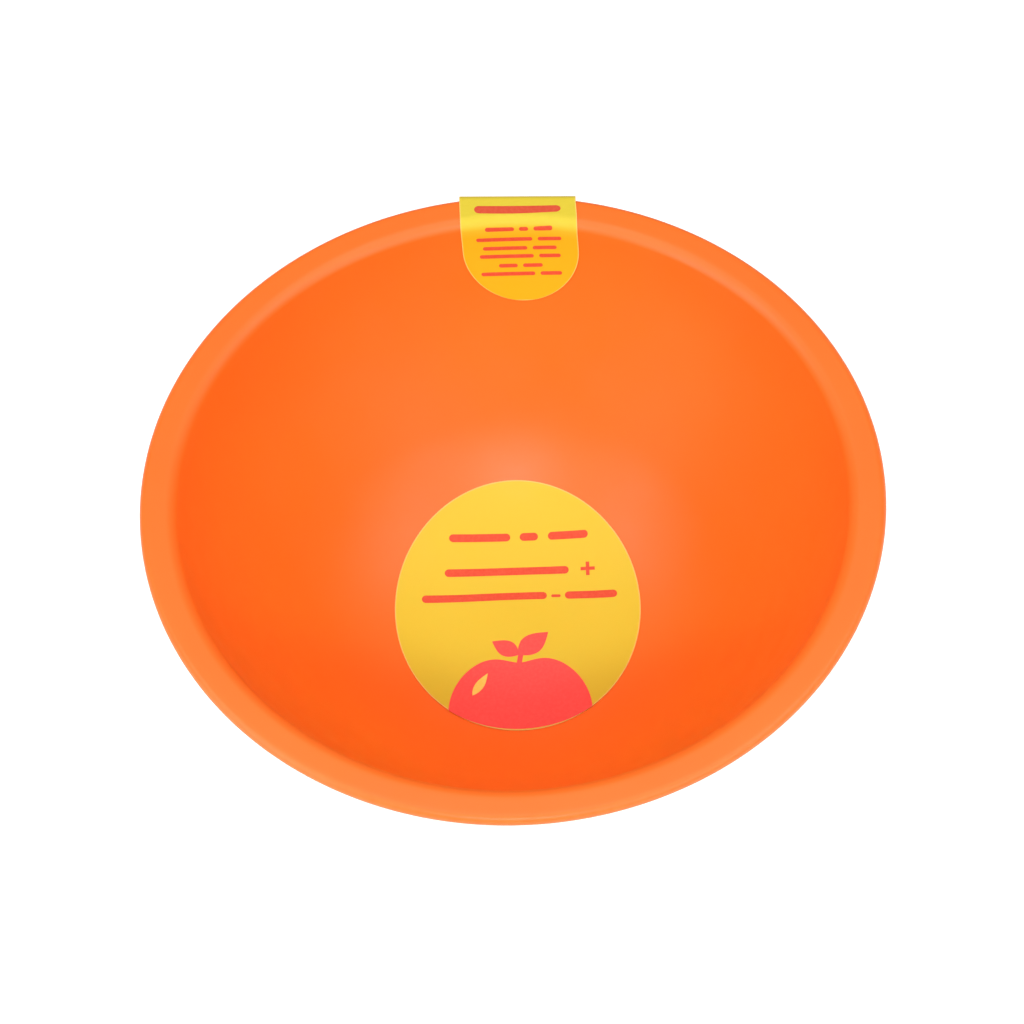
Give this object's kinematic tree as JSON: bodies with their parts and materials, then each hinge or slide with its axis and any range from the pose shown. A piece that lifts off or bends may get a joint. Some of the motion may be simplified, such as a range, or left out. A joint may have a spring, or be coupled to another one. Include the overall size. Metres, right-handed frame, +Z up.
{
  "type": "suction bowl",
  "caption": "Round deep feeding bowl with a flat wide rim, plugged onto a soft suction base with a release tab, with an oval label on its floor and a label over its rim.",
  "frame": {"origin": "on the bowl's axis, on the table that the suction cup stands on", "axes": "+Z up along the bowl's axis; +Y towards the rim label and the release tab; +X to the right"},
  "size_m": [0.146, 0.1462, 0.0741],
  "materials": {
    "bowl_plastic": "satin moulded polypropylene, orange",
    "hub_plastic": "satin moulded polypropylene, warm white",
    "base_rubber": "soft thermoplastic elastomer, amber yellow",
    "label_film": "printed film label, yellow with red print"
  },
  "bodies": {
    "suction_base": {"suction_cup": "base_rubber"},
    "tab": {"release_tab": "base_rubber"},
    "hub_body": {"hub": "hub_plastic"},
    "bowl": {"bowl_shell": "bowl_plastic", "floor_label": "label_film", "rim_label": "label_film"}
  },
  "joints": [
    {"name": "press_down", "type": "slide", "parent": "suction_base", "child": "hub_body", "axis": [0, 0, 1], "range_m": [-0.0022, 0], "stiffness_N_per_m": 7000, "deforming": ["suction_cup"]},
    {"name": "bowl_lift_off", "type": "slide", "parent": "hub_body", "child": "bowl", "axis": [0, 0, 1], "range_m": [0, 0.03]},
    {"name": "tab_lift", "type": "hinge", "parent": "suction_base", "child": "tab", "pos_m": [0, 0.0322, 0.0015], "axis": [1, 0, 0], "range_deg": [0, 60], "stiffness_Nm_per_rad": 0.02}
  ]
}
